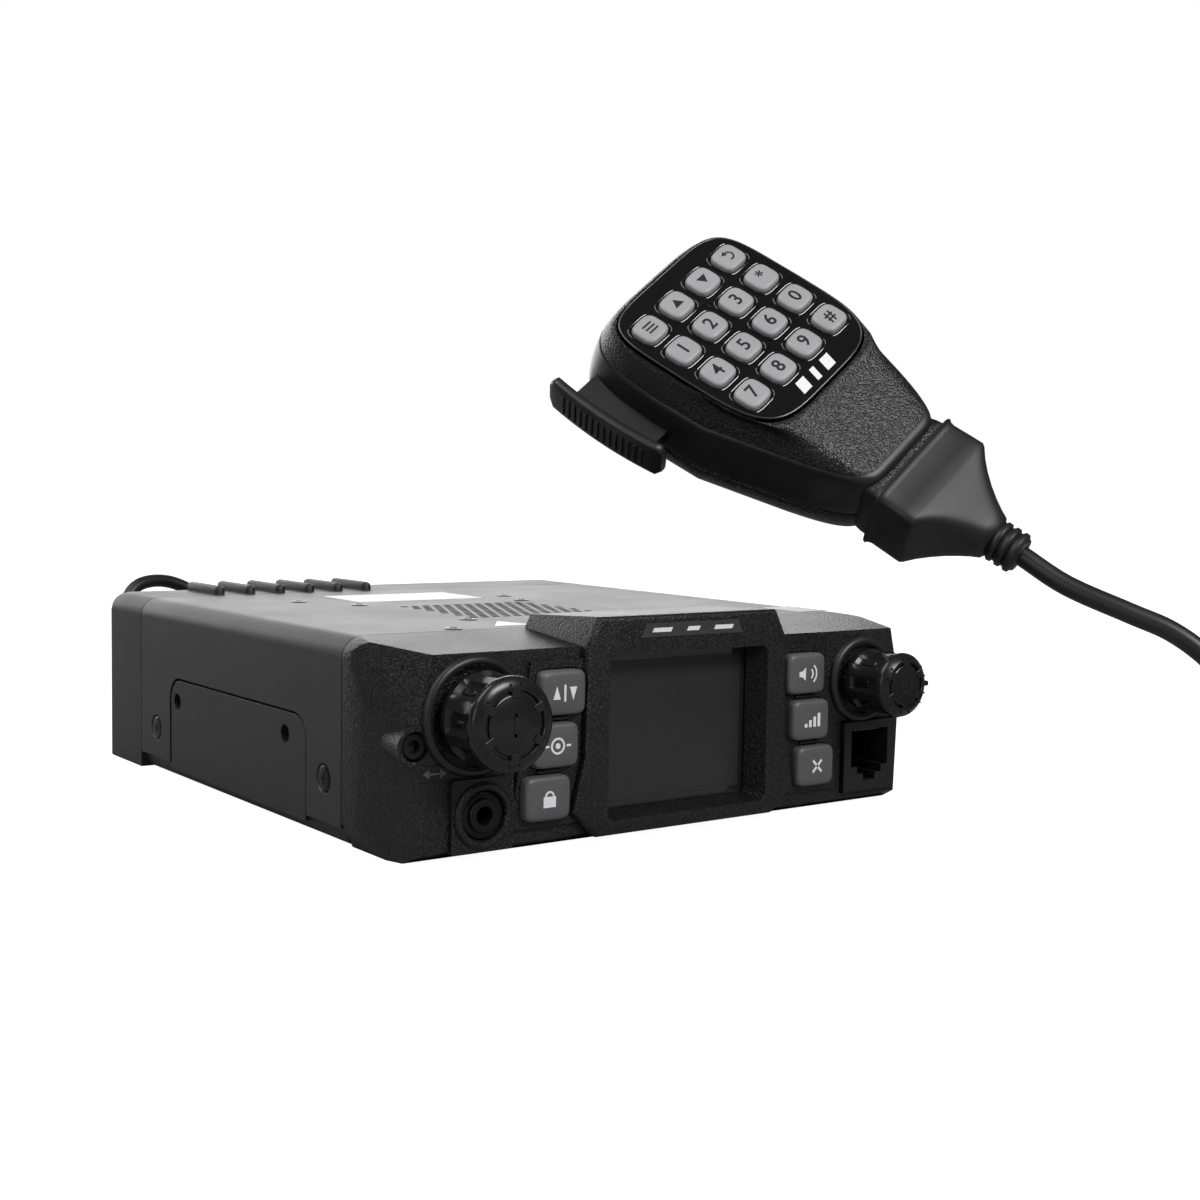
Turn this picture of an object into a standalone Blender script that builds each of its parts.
"""Mobile transceiver with its hand microphone, as separate solids.

Lengths below are in millimetres. The radio is drawn from the middle of its front face at table level:
x to the right, y back into the radio, z up. The microphone is drawn from the middle of its keypad:
x to its right, y towards its top, z out of its face. Two empties place both in the world.
"""

import math

import bmesh
import bpy
from mathutils import Euler, Matrix, Vector

MM = 0.001
GAP = 0.3

# The radio's driving sizes.
WIDTH = 140.0
HEIGHT = 43.0
PANEL_BACK = 22.5
COVER_BACK = 131.0
DEPTH = 156.0
HALF = WIDTH / 2
SHEET = 1.0
EDGE_ROUND = 4.5
TAB_BOTTOM = 4.0
ORIGIN_BEHIND_FACE = DEPTH / 2

# The display hood, which stands out of the front.
HOOD_FRONT = -2.5
HOOD_TOP = 47.0
WINDOW = (20.0, 5.8, 38.4)
LENS_FRONT = 3.3
WALL = 3.0

# Controls on the front: places are (x, z).
BUTTON_SIZE = (11.0, 9.2)
BUTTON_FACE = -3.0
BUTTON_ROWS = ((33.4, 32.2), (35.0, 21.6), (36.8, 11.0))
CHANNEL_AT = (-52.6, 28.6)
CHANNEL_RADIUS = 9.3
VOLUME_AT = (53.0, 29.6)
VOLUME_RADIUS = 7.3
KNOB_FRONT = -14.5
SHAFT_RADIUS = 3.0
DATA_AT = (-51.2, 8.9)
MIC_JACK_AT = (55.5, 11.6)
MIC_JACK_SIZE = (16.4, 16.4)
JACK_FACE = -1.2
PLUG_OPENING = (11.8, 8.7, 14.5)
BOSS_AT = (66.0, 23.5)

# What comes out of the rear face: places are (x, z).
ANTENNA_AT = (34.0, 22.0)
LEAD_EXIT = (-27.0, 27.0)
FINS = 6
FIN_PITCH = 8.6

# The bracket pads and screws on the radio's sides: places are (y, z).
SIDE_OPENING_FROM, SIDE_OPENING_TO, SIDE_OPENING_TOP = 38.3, 112.4, 25.2
BRACKET_HOLES = ((48.8, 19.8), (108.0, 19.4))
SIDE_SCREWS = ((30.5, 13.0), (121.0, 11.4))

# The microphone.
MIC_AT = (62.0, -21.9, 115.2)
MIC_TURN = (39.7, -37.8, 1.75)
KEY_PITCH = (11.25, 10.95)
KEY_SIZE = (8.3, 7.9)
KEY_RISE = 1.3
KEY_NAMES = (
    ("menu", "up", "down", "exit"),
    ("1", "2", "3", "star"),
    ("4", "5", "6", "0"),
    ("7", "8", "9", "hash"),
)
SEAM_Z = -20.5
MIC_BACK_Z = -30.0
CORD_Z = -19.5
CORD_RADIUS = 2.6
BOOT_END = -91.0
PTT_X = -39.0
PTT_WEB = (-1.0, 25.0)
PLATE_HALF = 24.4
PLATE_TALL = 27.4
PLATE_TAPER = 0.05

# The cords' routes are points in the world, in millimetres.
CORD_SPACING = 12.0
CURL_RADIUS = 7.6
CURL_HEIGHT = 7.8
CURL_RING = 43.0
CURL_CENTRE = (134.0, -182.0)
CURL_FROM, CURL_SWEEP = 60.0, -290.0
MIC_LEAD_ROUTE = (
    (113.9, -88.2, 50.4),
    (121.9, -100.9, 44.3),
    (127.6, -109.2, 40.2),
    (132.4, -116.6, 34.0),
    (136.4, -123.4, 25.4),
    (140.4, -130.2, 16.0),
)
TAIL_TO, TAIL_RADIUS = -38.0, 22.5
PLUG_END = (140.0, -199.0, 4.6)
PLUG_HEADING = 172.0
LEAD_RADIUS = 1.8
LEAD_SPACING = 8.0
LEAD_ROUTE = (
    (-27.4, 89.0, 27.6),
    (-33.0, 95.6, 33.6),
    (-44.0, 97.6, 40.4),
    (-54.4, 95.0, 41.9),
    (-59.6, 92.4, 37.0),
    (-60.6, 91.8, 26.0),
    (-59.4, 93.6, 14.0),
    (-56.4, 97.8, 5.0),
    (-48.0, 103.6, 2.2),
    (-32.0, 107.0, 2.0),
    (-14.0, 107.6, 2.0),
    (2.0, 105.6, 2.6),
)
CONNECTOR_AT = (9.0, 104.4, 5.4)
CONNECTOR_SIZE = (30.0, 14.0, 8.6)

PART = bpy.data.collections.new("mobile_transceiver")
CUTTERS = bpy.data.collections.new("cutters")


def start_scene():
    for obj in list(bpy.data.objects):
        bpy.data.objects.remove(obj)
    for collection in (PART, CUTTERS):
        bpy.context.scene.collection.children.link(collection)
    CUTTERS.hide_render = True


def finish(name, colour, roughness, metallic=0.0):
    material = bpy.data.materials.new(name)
    material.use_nodes = True
    shader = material.node_tree.nodes["Principled BSDF"]
    shader.inputs["Base Color"].default_value = (*colour, 1.0)
    shader.inputs["Roughness"].default_value = roughness
    shader.inputs["Metallic"].default_value = metallic
    return material


def empty(name, at, turn=(0.0, 0.0, 0.0)):
    obj = bpy.data.objects.new(name, None)
    PART.objects.link(obj)
    obj.location = Vector(at) * MM
    obj.rotation_euler = Euler([math.radians(angle) for angle in turn])
    return obj


def make(name, shape, collection, parent, at):
    """An object from a bmesh in millimetres, drawn round the point `at` of its parent."""
    mesh = bpy.data.meshes.new(name)
    shape.normal_update()
    bmesh.ops.recalc_face_normals(shape, faces=shape.faces)
    if shape.calc_volume(signed=True) < 0:
        bmesh.ops.reverse_faces(shape, faces=shape.faces)
    bmesh.ops.scale(shape, vec=(MM, MM, MM), verts=shape.verts)
    shape.to_mesh(mesh)
    shape.free()
    obj = bpy.data.objects.new(name, mesh)
    collection.objects.link(obj)
    obj.parent = parent
    obj.location = Vector(at) * MM
    return obj


def piece(name, shape, material, parent=None, at=(0.0, 0.0, 0.0)):
    obj = make(name, shape, PART, parent, at)
    obj.data.materials.append(material)
    obj.data.shade_smooth()
    obj.data.set_sharp_from_angle(angle=math.radians(35))
    return obj


def combine(obj, operation, label, *shapes):
    """Adds a Boolean to obj for each bmesh, which is drawn in the same frame as obj's parent."""
    for number, shape in enumerate(shapes):
        other = make(f"{obj.name}_{label}_{number}", shape, CUTTERS, obj.parent, (0, 0, 0))
        other.hide_render = True
        other.display_type = "WIRE"
        modifier = obj.modifiers.new(f"{label}_{number}", "BOOLEAN")
        modifier.operation = operation
        modifier.object = other


def cut(obj, *shapes):
    combine(obj, "DIFFERENCE", "cut", *shapes)


def join(obj, *shapes):
    combine(obj, "UNION", "join", *shapes)


def box(low, high):
    shape = bmesh.new()
    bmesh.ops.create_cube(shape, size=1.0)
    bmesh.ops.scale(shape, vec=[b - a for a, b in zip(low, high)], verts=shape.verts)
    bmesh.ops.translate(shape, vec=[(a + b) / 2 for a, b in zip(low, high)], verts=shape.verts)
    return shape


def rounded_box(low, high, radius, chosen, segments=4):
    """A box whose edges are rounded where chosen(middle of the edge, its direction) says so."""
    shape = box(low, high)
    edges = []
    for edge in shape.edges:
        first, second = (vertex.co for vertex in edge.verts)
        if chosen((first + second) / 2, (second - first).normalized()):
            edges.append(edge)
    bmesh.ops.bevel(
        shape, geom=edges, offset=radius, segments=segments, profile=0.5, affect="EDGES"
    )
    return shape


def soften(shape, offset, segments, chosen):
    """Rounds the sharp edges whose vertices all satisfy chosen(place)."""
    shape.normal_update()
    edges = [
        edge for edge in shape.edges
        if edge.calc_face_angle(0.0) > 0.5 and all(chosen(vertex.co) for vertex in edge.verts)
    ]
    bmesh.ops.bevel(
        shape, geom=edges, offset=offset, segments=segments, profile=0.5, affect="EDGES"
    )


def rod(start, end, radius, end_radius=None, sides=16):
    """A cylinder or a cone from one point to another."""
    start, end = Vector(start), Vector(end)
    shape = bmesh.new()
    bmesh.ops.create_cone(
        shape,
        cap_ends=True,
        segments=sides,
        radius1=radius,
        radius2=radius if end_radius is None else end_radius,
        depth=(end - start).length,
    )
    turn = (end - start).to_track_quat("Z", "Y").to_matrix().to_4x4()
    shape.transform(Matrix.Translation((start + end) / 2) @ turn)
    return shape


def slice_off(shape, point, normal):
    """Cuts away what lies on the normal's side of a plane, and closes the cut."""
    geometry = [*shape.verts, *shape.edges, *shape.faces]
    found = bmesh.ops.bisect_plane(
        shape, geom=geometry, dist=0.0001, plane_co=point, plane_no=normal, clear_outer=True
    )
    edges = [item for item in found["geom_cut"] if isinstance(item, bmesh.types.BMEdge)]
    bmesh.ops.holes_fill(shape, edges=edges)


def solid_of(curve, matrix):
    """The bmesh of a curve's solid, with its caps welded."""
    obj = bpy.data.objects.new("outline", curve)
    bpy.context.scene.collection.objects.link(obj)
    graph = bpy.context.evaluated_depsgraph_get()
    mesh = bpy.data.meshes.new_from_object(obj.evaluated_get(graph))
    shape = bmesh.new()
    shape.from_mesh(mesh)
    bmesh.ops.remove_doubles(shape, verts=shape.verts, dist=0.0005)
    shape.transform(matrix)
    bpy.data.objects.remove(obj)
    bpy.data.meshes.remove(mesh)
    return shape


def plate(outlines, low, high, matrix=None):
    """Closed flat outlines, the outer one first and holes after it, given a thickness from low to high."""
    curve = bpy.data.curves.new("outline", "CURVE")
    curve.dimensions = "2D"
    curve.fill_mode = "BOTH"
    curve.extrude = (high - low) / 2
    for outline in outlines:
        spline = curve.splines.new("POLY")
        spline.points.add(len(outline) - 1)
        for point, (x, y) in zip(spline.points, outline):
            point.co = (x, y, 0.0, 1.0)
        spline.use_cyclic_u = True
    lift = Matrix.Translation((0, 0, (low + high) / 2))
    return solid_of(curve, (matrix or Matrix()) @ lift)


def facing_front():
    """Turns an outline drawn in (x, z) and its thickness along y into the radio's frame."""
    return Matrix(((1, 0, 0, 0), (0, 0, 1, 0), (0, 1, 0, 0), (0, 0, 0, 1)))


def facing_side():
    """Turns an outline drawn in (y, z) and its thickness along x into the radio's frame."""
    return Matrix(((0, 0, 1, 0), (1, 0, 0, 0), (0, 1, 0, 0), (0, 0, 0, 1)))


def rounded_outline(width, height, radius, centre=(0.0, 0.0), steps=2):
    points = []
    corners = ((1, 1), (-1, 1), (-1, -1), (1, -1))
    for quarter, (right, up) in enumerate(corners):
        x = centre[0] + right * (width / 2 - radius)
        y = centre[1] + up * (height / 2 - radius)
        for step in range(steps + 1):
            angle = math.pi / 2 * (quarter + step / steps)
            points.append((x + radius * math.cos(angle), y + radius * math.sin(angle)))
    return points


def turned(profile, start, direction, steps=24):
    """A profile of (radius, distance) pairs turned round the line from start along direction."""
    mesh = bpy.data.meshes.new("profile")
    points = [(radius, 0.0, along) for radius, along in profile]
    mesh.from_pydata(points, [(i, i + 1) for i in range(len(points) - 1)], [])
    obj = bpy.data.objects.new("profile", mesh)
    bpy.context.scene.collection.objects.link(obj)
    screw = obj.modifiers.new("turn", "SCREW")
    screw.steps = steps
    screw.render_steps = steps
    screw.use_merge_vertices = True
    screw.merge_threshold = 0.0001
    graph = bpy.context.evaluated_depsgraph_get()
    solid = bpy.data.meshes.new_from_object(obj.evaluated_get(graph))
    shape = bmesh.new()
    shape.from_mesh(solid)
    bmesh.ops.remove_doubles(shape, verts=shape.verts, dist=0.0005)
    turn = Vector(direction).to_track_quat("Z", "Y").to_matrix().to_4x4()
    shape.transform(Matrix.Translation(start) @ turn)
    bpy.data.objects.remove(obj)
    return shape


def loft(rings):
    """A closed skin through rings of equal point counts, capped at both ends."""
    shape = bmesh.new()
    rows = [[shape.verts.new(point) for point in ring] for ring in rings]
    for low, high in zip(rows, rows[1:]):
        for i in range(len(low)):
            j = (i + 1) % len(low)
            shape.faces.new((low[i], low[j], high[j], high[i]))
    shape.faces.new(rows[0][::-1])
    shape.faces.new(rows[-1])
    return shape


def smooth_route(points, spacing):
    """Points at even spacing along a Catmull-Rom curve through the given points."""
    points = [Vector(point) for point in points]
    ends = [2 * points[0] - points[1], *points, 2 * points[-1] - points[-2]]
    fine = []
    for a, b, c, d in zip(ends, ends[1:], ends[2:], ends[3:]):
        for step in range(24):
            t = step / 24
            fine.append(
                0.5 * (2 * b + (c - a) * t + (2 * a - 5 * b + 4 * c - d) * t * t
                       + (3 * b - a - 3 * c + d) * t ** 3)
            )
    fine.append(points[-1])
    total = sum((q - p).length for p, q in zip(fine, fine[1:]))
    count = max(2, round(total / spacing))
    route, travelled, wanted = [fine[0]], 0.0, total / count
    for p, q in zip(fine, fine[1:]):
        length = (q - p).length
        while travelled + length >= wanted - 1e-6 and len(route) < count:
            route.append(p.lerp(q, (wanted - travelled) / length))
            wanted += total / count
        travelled += length
    route.append(fine[-1])
    return route


def tube(name, route, radius, material, bevel_resolution=2):
    curve = bpy.data.curves.new(name, "CURVE")
    curve.dimensions = "3D"
    curve.bevel_depth = radius * MM
    curve.bevel_resolution = bevel_resolution
    curve.use_fill_caps = True
    spline = curve.splines.new("POLY")
    spline.points.add(len(route) - 1)
    for point, place in zip(spline.points, route):
        point.co = (*(Vector(place) * MM), 1.0)
    obj = bpy.data.objects.new(name, curve)
    curve.materials.append(material)
    PART.objects.link(obj)
    return obj


def mirrored(shape):
    """A copy of a bmesh on the other side of the radio's middle plane."""
    copy = shape.copy()
    bmesh.ops.scale(copy, vec=(-1, 1, 1), verts=copy.verts)
    bmesh.ops.reverse_faces(copy, faces=copy.faces)
    return copy


def both_sides(shape):
    return shape, mirrored(shape)


# The radio's case.


def arch_outline(inset, foot):
    """The opening in the cover's side in (y, z): square at its foot, rounded at its two top corners."""
    near, far = SIDE_OPENING_FROM + inset, SIDE_OPENING_TO - inset
    top, radius = SIDE_OPENING_TOP - inset, 5.5 - inset
    points = [(near, foot), (far, foot)]
    for centre, start in ((far - radius, 0.0), (near + radius, 90.0)):
        for step in range(5):
            angle = math.radians(start + 22.5 * step)
            points.append((centre + radius * math.cos(angle), top - radius + radius * math.sin(angle)))
    return points


def make_chassis(radio, material):
    """The die-cast tray with its full-height rear block, fins and side pads."""
    inner = HALF - SHEET - GAP
    tray = rounded_box(
        (-inner, PANEL_BACK + GAP, 0.0),
        (inner, COVER_BACK + 6.0, 37.0),
        2.5,
        lambda middle, along: abs(along.y) > 0.9 and middle.z < 1,
        segments=2,
    )
    obj = piece("chassis", tray, material, radio)
    rear = rounded_box(
        (-HALF, COVER_BACK + GAP, 0.0),
        (HALF, DEPTH, HEIGHT),
        EDGE_ROUND,
        lambda middle, along: middle.z > 40 and (abs(along.y) > 0.9 or middle.y > 150)
        or abs(along.z) > 0.9 and middle.y > 150,
    )
    join(obj, rear)
    pad = plate([arch_outline(0.6, TAB_BOTTOM - 1.4)], inner - 1.5, HALF - 0.15, facing_side())
    join(obj, *both_sides(pad))
    for number in range(FINS):
        x = -49.0 + FIN_PITCH * number
        fin = rounded_box(
            (x, COVER_BACK + 2.0, 38.0),
            (x + 2.8, DEPTH - 2.5, HEIGHT + 2.2),
            1.2,
            lambda middle, along: middle.z > 44 or abs(along.z) > 0.9,
            segments=2,
        )
        join(obj, fin)
    cavity = box((-inner + WALL, 10.0, 4.0), (inner - WALL, COVER_BACK - 3.0, 60.0))
    cut(obj, cavity)
    for y, z in BRACKET_HOLES:
        cut(obj, *both_sides(rod((HALF + 2, y, z), (HALF - 7.5, y, z), 2.0, sides=16)))
    for y, z in SIDE_SCREWS:
        cut(obj, *both_sides(rod((HALF + 2, y, z), (HALF - 6.0, y, z), 2.2, sides=12)))
    x, z = ANTENNA_AT
    cut(obj, rod((x, DEPTH + 5, z), (x, COVER_BACK - 6, z), 6.6, sides=20))
    x, z = LEAD_EXIT
    cut(obj, rod((x, DEPTH + 5, z), (x, COVER_BACK - 6, z), 4.6, sides=20))
    return obj


def make_cover(radio, material):
    """The folded sheet cover, open where the bracket pads show."""
    def top_edge(middle, along):
        return abs(along.y) > 0.9 and middle.z > 30

    outer = rounded_box(
        (-HALF, PANEL_BACK + GAP, TAB_BOTTOM), (HALF, COVER_BACK, HEIGHT), EDGE_ROUND, top_edge
    )
    inner = rounded_box(
        (-HALF + SHEET, 0.0, -10.0),
        (HALF - SHEET, COVER_BACK + 20, HEIGHT - SHEET),
        EDGE_ROUND - SHEET,
        top_edge,
    )
    obj = piece("top_cover", outer, material, radio)
    cut(obj, inner, plate([arch_outline(0.0, TAB_BOTTOM - 5.0)], -HALF - 5, HALF + 5, facing_side()))
    for y, z in SIDE_SCREWS:
        cut(obj, *both_sides(rod((HALF + 0.5, y, z), (HALF - 2.5, y, z), 3.6, 1.6, sides=16)))
    return obj


def make_front_panel(radio, material):
    """The moulded front: two wings, the raised display hood, and openings for every control."""
    wings = rounded_box(
        (-HALF, 0.0, 0.0),
        (HALF, PANEL_BACK, HEIGHT),
        EDGE_ROUND,
        lambda middle, along: abs(along.y) > 0.9 and middle.z > 30,
    )
    slice_off(wings, (0, 0, 41.1), Vector((0, -1.9, PANEL_BACK)))
    slice_off(wings, (0, 0, 2.2), Vector((0, -2.2, -4.5)))
    for side in (-1, 1):
        tip, front = Vector((side * HALF, 14, 31)), Vector((side * 62.5, 0, 41.1))
        low = Vector((side * 65.8, 0, 27.6))
        slice_off(wings, tip, side * (front - tip).cross(low - tip))
        slice_off(wings, (side * 65.8, 0, 27.0), Vector((side * 14.0, -4.2, -0.5)))
        slice_off(wings, (side * (HALF - 2.6), 0, 0), Vector((side * 4.0, 0, -2.0)))
    obj = piece("front_panel", wings, material, radio)

    hood_outline = [(-24.2, HOOD_TOP), (-27.2, 41.0), (-27.8, 18.5), (-30.6, 7.2), (-24.0, 1.4)]
    hood_outline += [(-x, z) for x, z in reversed(hood_outline)]
    hood = plate([hood_outline], HOOD_FRONT, PANEL_BACK, facing_front())
    slice_off(hood, (0, 0, HOOD_TOP), Vector((0, 1.2, PANEL_BACK)))
    soften(hood, 1.1, 2, lambda place: place.y < HOOD_FRONT + 0.01)
    join(obj, hood)

    keys = [(26.0, 38.6), (40.2, 38.6), (44.6, 5.0), (28.0, 5.0)]
    join(obj, *both_sides(plate([keys], -0.9, 4.0, facing_front())))
    x, z = BOSS_AT
    join(obj, *both_sides(rod((x, 0.0, z), (x, 8.6, z), 4.0, 2.7, sides=20)))
    for (x, z), radius in ((CHANNEL_AT, CHANNEL_RADIUS), (VOLUME_AT, VOLUME_RADIUS)):
        join(obj, rod((x, -1.0, z), (x, 3.0, z), radius + 2.2, sides=28))
    x, z = DATA_AT
    join(obj, plate([rounded_outline(14.4, 14.8, 0.8, (x, z))], -1.0, 3.0, facing_front()))

    low, high = WINDOW[1:]
    mouth = rounded_outline(2 * WINDOW[0] + 3.4, high - low + 2.0, 1.6, (0, (low + high) / 2 - 0.2))
    sill = rounded_outline(2 * WINDOW[0], high - low, 0.8, (0, (low + high) / 2))
    cut(
        obj,
        loft([[(x, HOOD_FRONT - 0.2, z) for x, z in mouth], [(x, LENS_FRONT, z) for x, z in sill]]),
        box((-WINDOW[0] - 1.6, LENS_FRONT - 0.2, low - 1.2), (WINDOW[0] + 1.6, 12.0, high + 1.2)),
        box((-HALF + WALL + 1.5, 6.0, WALL), (HALF - WALL - 1.5, PANEL_BACK + 5, HEIGHT - 4.5)),
    )
    width, height = BUTTON_SIZE
    for x, z in BUTTON_ROWS:
        hole = rounded_outline(width + 2 * GAP, height + 2 * GAP, 2.2, (x, z))
        cut(obj, *both_sides(plate([hole], -4.0, 8.0, facing_front())))
    for (x, z), radius in ((CHANNEL_AT, CHANNEL_RADIUS), (VOLUME_AT, VOLUME_RADIUS)):
        cut(obj, rod((x, -3.0, z), (x, 0.4, z), radius + 0.9, sides=28))
        cut(obj, rod((x, -3.0, z), (x, 8.0, z), SHAFT_RADIUS + 0.6, sides=16))
    x, z = DATA_AT
    cut(obj, rod((x, -3.0, z), (x, 8.0, z), 5.0, sides=24))
    x, z = MIC_JACK_AT
    width, height = (size / 2 + GAP for size in MIC_JACK_SIZE)
    cut(obj, box((x - width, -5.0, z - height), (x + width, 8.0, z + height)))
    x, z = BOSS_AT
    cut(obj, *both_sides(rod((x, -2.0, z), (x, 2.6, z), 3.0, sides=20)))
    return obj


# What the front carries.


def make_display(radio, glass, module):
    low, high = WINDOW[1:]
    x = WINDOW[0] + 1.2
    lens = box((-x, LENS_FRONT + GAP, low - 0.9), (x, LENS_FRONT + 1.5, high + 0.9))
    piece("display_lens", lens, glass, radio)
    screen = box((-x - 0.8, LENS_FRONT + 3.0, low - 0.6), (x + 0.8, LENS_FRONT + 7.5, high))
    piece("lcd_module", screen, module, radio)


def make_buttons(radio, material):
    """Six rubber buttons, which move back into the panel."""
    width, height = BUTTON_SIZE
    for side, name in ((-1, "left"), (1, "right")):
        for number, (x, z) in enumerate(BUTTON_ROWS, 1):
            outline = rounded_outline(width, height, 2.0)
            cap = plate([outline], BUTTON_FACE, 7.5, facing_front())
            soften(cap, 0.6, 1, lambda place: place.y < BUTTON_FACE + 0.01)
            piece(f"panel_button_{name}_{number}", cap, material, radio, (side * x, 0, z))


def knob_profile(radius):
    bore = SHAFT_RADIUS + GAP
    return [
        (0.0, 0.0),
        (radius * 0.72, 0.0),
        (radius * 0.94, 0.5),
        (radius, 1.4),
        (radius, 3.4),
        (radius * 0.93, 4.4),
        (radius * 0.93, 9.6),
        (radius, 10.6),
        (radius, 12.6),
        (bore, 12.6),
        (bore, 3.5),
        (0.0, 3.5),
    ]


def make_knobs(radio, plastic, metal, body):
    controls = (
        ("channel", CHANNEL_AT, CHANNEL_RADIUS, 0.0),
        ("volume", VOLUME_AT, VOLUME_RADIUS, 1.2),
    )
    for name, (x, z), radius, push in controls:
        knob = turned(knob_profile(radius), (0, KNOB_FRONT, 0), (0, 1, 0))
        obj = piece(f"{name}_knob", knob, plastic, radio, (x, 0, z))
        for number in range(6):
            angle = math.radians(90 + 60 * number)
            notch = box((radius * 0.82, KNOB_FRONT - 1, -0.8), (radius + 2, KNOB_FRONT + 2.2, 0.8))
            notch.transform(Matrix.Translation((x, 0, z)) @ Matrix.Rotation(-angle, 4, "Y"))
            cut(obj, notch)
        shaft = rod((0, KNOB_FRONT + 4.0, 0), (0, 13.0, 0), SHAFT_RADIUS)
        piece(f"{name}_shaft", shaft, metal, radio, (x, 0, z))
        encoder = box((x - 6, 8.3, z - 6), (x + 6, 16.0, z + 6))
        obj = piece(f"{name}_encoder", encoder, body, radio)
        cut(obj, rod((x, 5.0, z), (x, 13.4 + push, z), SHAFT_RADIUS + GAP))


def make_jacks(radio, plastic, metal):
    """The eight-contact microphone socket and the round data socket."""
    x, z = MIC_JACK_AT
    width, height = (size / 2 for size in MIC_JACK_SIZE)
    body = box((x - width, JACK_FACE, z - height), (x + width, 16.0, z + height))
    obj = piece("mic_jack", body, plastic, radio)
    half, tall, deep = PLUG_OPENING[0] / 2, PLUG_OPENING[1], JACK_FACE + PLUG_OPENING[2]
    top = z + 6.2
    floor = top - tall
    cut(obj, box((x - half, JACK_FACE - 1, floor), (x + half, deep, top)))
    cut(obj, box((x - 3.9, JACK_FACE - 1, floor - 1.7), (x + 3.9, deep - 2, floor + 1)))
    cut(obj, box((x - 1.9, JACK_FACE - 1, floor - 3.3), (x + 1.9, deep - 2, floor)))
    x, z = DATA_AT
    profile = [(1.75, -1.7), (3.5, -1.7), (3.5, -1.1), (4.7, -1.1), (4.7, 4.0), (4.0, 4.0),
               (4.0, 14.0), (1.75, 14.0), (1.75, -1.7)]
    piece("data_jack", turned(profile, (x, 0, z), (0, 1, 0), 20), metal, radio)


# Inside the case.


def make_insides(radio, board, tin, dark):
    piece("front_board", box((-60, 16.4, 4.5), (60, 18.0, 37.5)), board, radio)
    main = box((-58, 30, 12.0), (58, 120, 13.6))
    piece("main_board", main, board, radio)
    piece("rf_shield", box((-6, 60, 14.0), (44, 112, 21.0)), tin, radio)
    module = box((-2, 121.0, 4.3), (48, 127.6, 16.0))
    piece("power_module", module, dark, radio)
    cone = [(0.0, 0.0), (9.0, 0.0), (9.0, 3.5), (21.5, 7.0), (21.5, 8.5), (0.0, 8.5)]
    piece("speaker", turned(cone, (7.0, 92.0, 33.0), (0, 0, 1), 20), dark, radio)


def make_rear_fittings(radio, metal, rubber):
    x, z = ANTENNA_AT
    barrel = [(5.4, 18.0), (7.9, 18.0), (7.9, 2.4), (12.0, 2.4), (12.0, GAP), (6.2, GAP),
              (6.2, -12.0), (2.0, -12.0), (2.0, 6.0), (5.4, 6.0), (5.4, 18.0)]
    piece("antenna_socket", turned(barrel, (x, DEPTH, z), (0, 1, 0), 32), metal, radio)
    x, z = LEAD_EXIT
    bore = LEAD_RADIUS + GAP
    sleeve = [(bore, 7.0), (3.4, 7.0), (4.2, 2.2), (6.6, 2.2), (6.6, GAP), (4.3, GAP),
              (4.3, -6.0), (bore, -6.0), (bore, 7.0)]
    piece("power_grommet", turned(sleeve, (x, DEPTH, z), (0, 1, 0), 16), rubber, radio)


def make_side_screws(radio, metal):
    number = 0
    for side in (-1, 1):
        for y, z in SIDE_SCREWS:
            number += 1
            head = [(0.0, 0.0), (2.75, 0.0), (1.3, 1.7), (1.3, 5.2), (0.0, 5.2)]
            start = (side * (HALF - 0.1), y, z)
            screw = turned(head, start, (-side, 0, 0), 12)
            piece(f"cover_screw_{number}", screw, metal, radio)


# The microphone.


def mic_ring(z, half_width, top, bottom, neck, count=40):
    """The microphone's outline at one height: a rounded square that narrows to its neck at the bottom."""
    ring = []
    for step in range(count):
        angle = 2 * math.pi * step / count
        c, s = math.cos(angle), math.sin(angle)
        power = 0.42
        x = math.copysign(abs(c) ** power, c)
        y = math.copysign(abs(s) ** power, s)
        place = (y + 1) / 2
        narrow = neck + (half_width - neck) * min(1.0, (place * 1.9)) ** 0.8
        ring.append((x * narrow, bottom + (top - bottom) * place, z))
    return ring


def shell_rings(inset):
    """Rings of the whole microphone from its face to its back, moved in by inset."""
    rows = (
        (-1.2, 25.6, 27.8, -31.0, 20.5),
        (-2.8, 26.6, 29.0, -35.0, 18.5),
        (-8.0, 29.0, 31.4, -50.0, 14.5),
        (-14.0, 30.6, 32.6, -53.6, 16.6),
        (SEAM_Z, 31.4, 33.0, -54.4, 17.8),
        (-25.5, 30.4, 32.0, -54.2, 16.8),
        (MIC_BACK_Z, 25.6, 27.4, -50.5, 12.8),
    )
    return [
        mic_ring(z, half - inset, top - inset, bottom + inset, neck - inset)
        for z, half, top, bottom, neck in rows
    ]


def plate_outline(inset=0.0):
    """The keypad plate's outline: a rounded rectangle, narrower and rounder at its foot."""
    points = []
    for step in range(48):
        angle = 2 * math.pi * step / 48
        c, s = math.cos(angle), math.sin(angle)
        power = 0.36 if s > 0 else 0.44
        x = math.copysign(abs(c) ** power, c)
        y = math.copysign(abs(s) ** power, s)
        taper = 1.0 - PLATE_TAPER * max(0.0, -y) ** 2
        points.append((x * taper * (PLATE_HALF - inset), y * (PLATE_TALL - inset) - 1.0))
    return points


def key_places():
    for row, names in enumerate(KEY_NAMES):
        for column, name in enumerate(names):
            x = (column - 1.5) * KEY_PITCH[0]
            y = (1.5 - row) * KEY_PITCH[1]
            yield name, x, y


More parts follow.
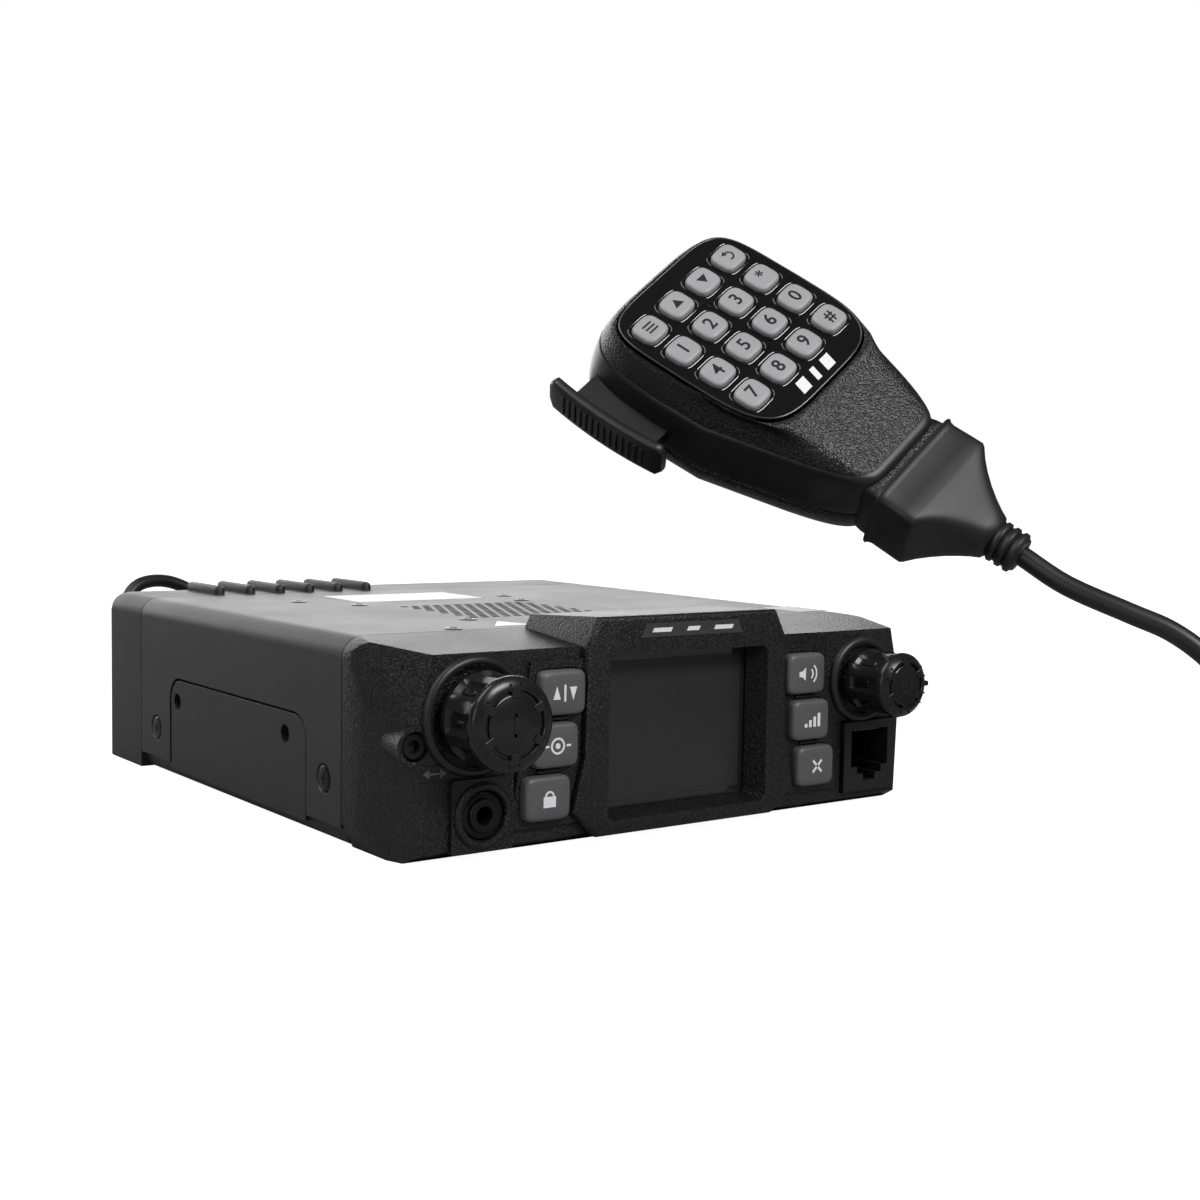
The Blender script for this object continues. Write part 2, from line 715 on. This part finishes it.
def make_mic_shells(mic, front_material, back_material):
    whole = shell_rings(0.0)
    inside = shell_rings(2.4)
    front = piece("mic_front_shell", loft(whole[:5]), front_material, mic)
    pocket = [[(x, y, min(z, -4.5)) for x, y, z in inside[1]], *inside[2:4]]
    pocket.append([(x, y, SEAM_Z - 1) for x, y, _ in inside[4]])
    window = rounded_outline(4 * KEY_PITCH[0] - 1.6, 4 * KEY_PITCH[1] - 1.6, 2.0)
    bed = plate([plate_outline(-0.4)], -1.9, 2.0)
    cut(front, loft(pocket), bed, plate([window], -8.0, 1.0))

    rear_rows = [[(x, y, z - GAP * (z == SEAM_Z)) for x, y, z in ring] for ring in whole[4:]]
    back = piece("mic_back_shell", loft(rear_rows), back_material, mic)
    hollow = [[(x, y, SEAM_Z + 1) for x, y, _ in inside[4]], inside[5]]
    hollow.append([(x, y, MIC_BACK_Z + 2.4) for x, y, _ in inside[6]])
    cut(back, loft(hollow))
    exit_hole = rod((0, -40, CORD_Z), (0, -60, CORD_Z), CORD_RADIUS + 0.6, sides=20)
    cut(front, exit_hole.copy())
    cut(back, exit_hole)
    low, high = PTT_WEB
    cut(front, box((-40, low - 0.5, -18.2), (-20, high + 0.5, -13.8)))


def make_keypad(mic, gloss, rubber, board):
    outlines = [plate_outline()]
    width, height = (size + 2 * GAP for size in KEY_SIZE)
    for _, x, y in key_places():
        outlines.append(rounded_outline(width, height, 2.6, (x, y)))
    piece("keypad_plate", plate(outlines, -1.6, 0.0), gloss, mic)
    for name, x, y in key_places():
        cap = plate([rounded_outline(*KEY_SIZE, 2.4)], -5.6, KEY_RISE)
        soften(cap, 0.5, 1, lambda place: place.z > KEY_RISE - 0.01)
        piece(f"key_{name}", cap, rubber, mic, (x, y, 0))
    piece("mic_board", box((-21.0, -21.0, -9.6), (21.0, 21.5, -8.0)), board, mic)


def make_ptt(mic, material):
    """The bowed push-to-talk bar on the left side, with a web that enters the shell."""
    outline = []
    for step in range(13):
        y = -5.5 + 37.5 * step / 12
        bow = 1.6 * (1 - ((y - 13.2) / 18.75) ** 2)
        outline.append((-bow, y))
    inner = [(x + 3.4, y) for x, y in reversed(outline)]
    bar = plate([outline + inner], -22.0, -11.5)
    obj = piece("ptt_bar", bar, material, mic, (PTT_X, 0, 0))
    low, high = PTT_WEB
    join(obj, box((PTT_X + 0.6, low, -17.8), (PTT_X + 13.0, high, -14.2)))


def boot_ring(y, half_x, half_z, centre_z, squareness, count=24):
    ring = []
    for step in range(count):
        angle = 2 * math.pi * step / count
        c, s = math.cos(angle), math.sin(angle)
        x = math.copysign(abs(c) ** squareness, c) * half_x
        z = math.copysign(abs(s) ** squareness, s) * half_z
        ring.append((x, y, centre_z + z))
    return ring


def make_boot(mic, rubber, metal):
    """The wide strain relief at the foot of the microphone, and the hanger stud on its back."""
    rows = (
        (-55.0, 17.4, 8.6, -18.2, 0.5),
        (-57.0, 19.8, 10.4, -18.2, 0.5),
        (-66.0, 19.2, 9.8, -18.6, 0.5),
        (-71.0, 14.6, 8.4, -19.0, 0.55),
        (-77.0, 9.2, 6.8, -19.3, 0.7),
        (-83.0, 6.0, 5.4, CORD_Z, 0.9),
        (BOOT_END, 4.8, 4.8, CORD_Z, 1.0),
    )
    obj = piece("mic_boot", loft([boot_ring(*row) for row in rows]), rubber, mic)
    cut(obj, rod((0, -50, CORD_Z), (0, BOOT_END - 3, CORD_Z), CORD_RADIUS + GAP, sides=16))
    stud = [(0.0, -6.0), (5.6, -6.0), (6.2, -4.6), (6.2, -3.4), (3.4, -3.0), (3.4, -GAP), (0.0, -GAP)]
    piece("hanger_stud", turned(stud, (0, 6.0, MIC_BACK_Z), (0, 0, 1), 16), metal, mic)


# The cords.


def on_ring(angle, radius, height):
    """The point of the coiled cord at an angle in degrees, with its direction of travel there."""
    turn = math.radians(angle)
    out = Vector((math.cos(turn), math.sin(turn), 0))
    centre = Vector((*CURL_CENTRE, height))
    return centre + out * radius, Vector((out.y, -out.x, 0))


def curl_route():
    """The middle line of the curled length, an open ring lying on the table."""
    steps = 44
    angles = [CURL_FROM + CURL_SWEEP * step / steps for step in range(1, steps)]
    ring = [on_ring(angle, CURL_RING, CURL_HEIGHT)[0] for angle in angles]
    first, start = on_ring(CURL_FROM, CURL_RING, CURL_HEIGHT)
    last, end = on_ring(CURL_FROM + CURL_SWEEP, CURL_RING, CURL_HEIGHT)
    return [first, first + start * 2, *ring, last - end * 2, last]


def tail_route():
    """From the curled length inwards to the plug, which lies inside the ring."""
    steps = 10
    low = CORD_RADIUS + GAP
    route = []
    for step in range(1, steps + 1):
        share = step / steps
        angle = CURL_FROM + CURL_SWEEP + 360 + (TAIL_TO - CURL_FROM - CURL_SWEEP - 360) * share
        radius = CURL_RING + (TAIL_RADIUS - CURL_RING) * share**0.75
        height = low + (CURL_HEIGHT - low) * max(0.0, 1 - 3 * share) ** 2
        route.append(on_ring(angle, radius, height)[0])
    return route


def make_mic_cord(mic_at, rubber, clear):
    """The microphone's cord: a plain lead, the curled length at rest on the table, a tail and a plug."""
    start = mic_at @ (Vector((0, BOOT_END - GAP, CORD_Z)) * MM) / MM
    curl = curl_route()
    first, heading = on_ring(CURL_FROM, CURL_RING, CURL_HEIGHT)
    lead = smooth_route([start, *MIC_LEAD_ROUTE, first - heading * 8], CORD_SPACING)
    tube("mic_lead", [*lead, first - heading * GAP], CORD_RADIUS, rubber)
    tube("curled_cord", curl, CURL_RADIUS, rubber)
    last, heading = on_ring(CURL_FROM + CURL_SWEEP, CURL_RING, CURL_HEIGHT)
    turn = math.radians(PLUG_HEADING)
    plug_along = Vector((math.cos(turn), math.sin(turn), 0))
    end = Vector(PLUG_END)
    tail = smooth_route([last + heading * 4, *tail_route(), end - plug_along * 8], CORD_SPACING)
    tube("plug_tail", [last + heading * GAP, *tail, end], CORD_RADIUS, rubber)

    plug_frame = empty("plug", PLUG_END, (0, 0, PLUG_HEADING))
    sleeve = rounded_box(
        (GAP, -4.6, -4.1),
        (12.0, 4.6, 4.1),
        1.4,
        lambda middle, along: abs(along.x) > 0.9,
        segments=2,
    )
    plug = piece("mic_plug", sleeve, clear, plug_frame)
    join(plug, box((11.0, -5.85, -4.2), (31.0, 5.85, 2.6)))
    join(plug, box((14.0, -1.6, 2.0), (29.5, 1.6, 4.4)))


def make_power_lead(radio, rubber, dark):
    """The supply lead, which arches over the rear edge and lies behind the radio."""
    start = (LEAD_EXIT[0], DEPTH - ORIGIN_BEHIND_FACE - 4.0, LEAD_EXIT[1])
    end = (CONNECTOR_AT[0] - 2 * GAP, CONNECTOR_AT[1], CONNECTOR_AT[2])
    mouth = (start[0], start[1] + 13.0, start[2])
    route = smooth_route([mouth, *LEAD_ROUTE, (end[0] - 6, end[1], end[2])], LEAD_SPACING)
    tube("power_lead", [start, *route, end], LEAD_RADIUS, rubber)
    length, width, height = CONNECTOR_SIZE
    at = (CONNECTOR_AT[0], CONNECTOR_AT[1] + ORIGIN_BEHIND_FACE, CONNECTOR_AT[2])
    body = rounded_box(
        (0.0, -width / 2, -height / 2),
        (length, width / 2, height / 2),
        1.2,
        lambda middle, along: abs(along.x) > 0.9,
        segments=2,
    )
    connector = piece("power_connector", body, dark, radio, at)
    for side in (-1, 1):
        x, y, z = at
        pocket = box((x + 18, y + side * 3.4 - 2.6, z - 2.6), (x + 40, y + side * 3.4 + 2.6, z + 2.6))
        cut(connector, pocket)


def main():
    start_scene()
    casting = finish("casting", (0.05, 0.05, 0.05), 0.55, 0.2)
    sheet = finish("sheet", (0.06, 0.06, 0.06), 0.5, 0.2)
    panel = finish("panel_plastic", (0.03, 0.03, 0.03), 0.6)
    button = finish("button_rubber", (0.13, 0.13, 0.13), 0.55)
    knob = finish("knob_plastic", (0.025, 0.025, 0.025), 0.35)
    glass = finish("display_glass", (0.05, 0.05, 0.05), 0.1)
    metal = finish("bright_metal", (0.6, 0.6, 0.6), 0.3, 1.0)
    dark_metal = finish("dark_metal", (0.05, 0.05, 0.05), 0.4, 0.8)
    board = finish("circuit_board", (0.02, 0.12, 0.05), 0.5)
    dark = finish("dark_plastic", (0.02, 0.02, 0.02), 0.5)
    key = finish("key_rubber", (0.45, 0.45, 0.45), 0.5)
    gloss = finish("gloss_plate", (0.01, 0.01, 0.01), 0.12)
    shell = finish("mic_plastic", (0.04, 0.04, 0.04), 0.5)
    rubber = finish("cord_rubber", (0.02, 0.02, 0.02), 0.6)

    radio = empty("radio", (0, -ORIGIN_BEHIND_FACE, 0))
    make_chassis(radio, casting)
    make_cover(radio, sheet)
    make_front_panel(radio, panel)
    make_display(radio, glass, dark)
    make_buttons(radio, button)
    make_knobs(radio, knob, metal, dark)
    make_jacks(radio, dark, dark_metal)
    make_insides(radio, board, metal, dark)
    make_rear_fittings(radio, metal, rubber)
    make_side_screws(radio, dark_metal)

    mic = empty("microphone", MIC_AT, MIC_TURN)
    make_mic_shells(mic, shell, shell)
    make_keypad(mic, gloss, key, board)
    make_ptt(mic, shell)
    make_boot(mic, rubber, metal)
    bpy.context.view_layer.update()
    make_mic_cord(mic.matrix_world, rubber, glass)
    make_power_lead(radio, rubber, dark)


main()
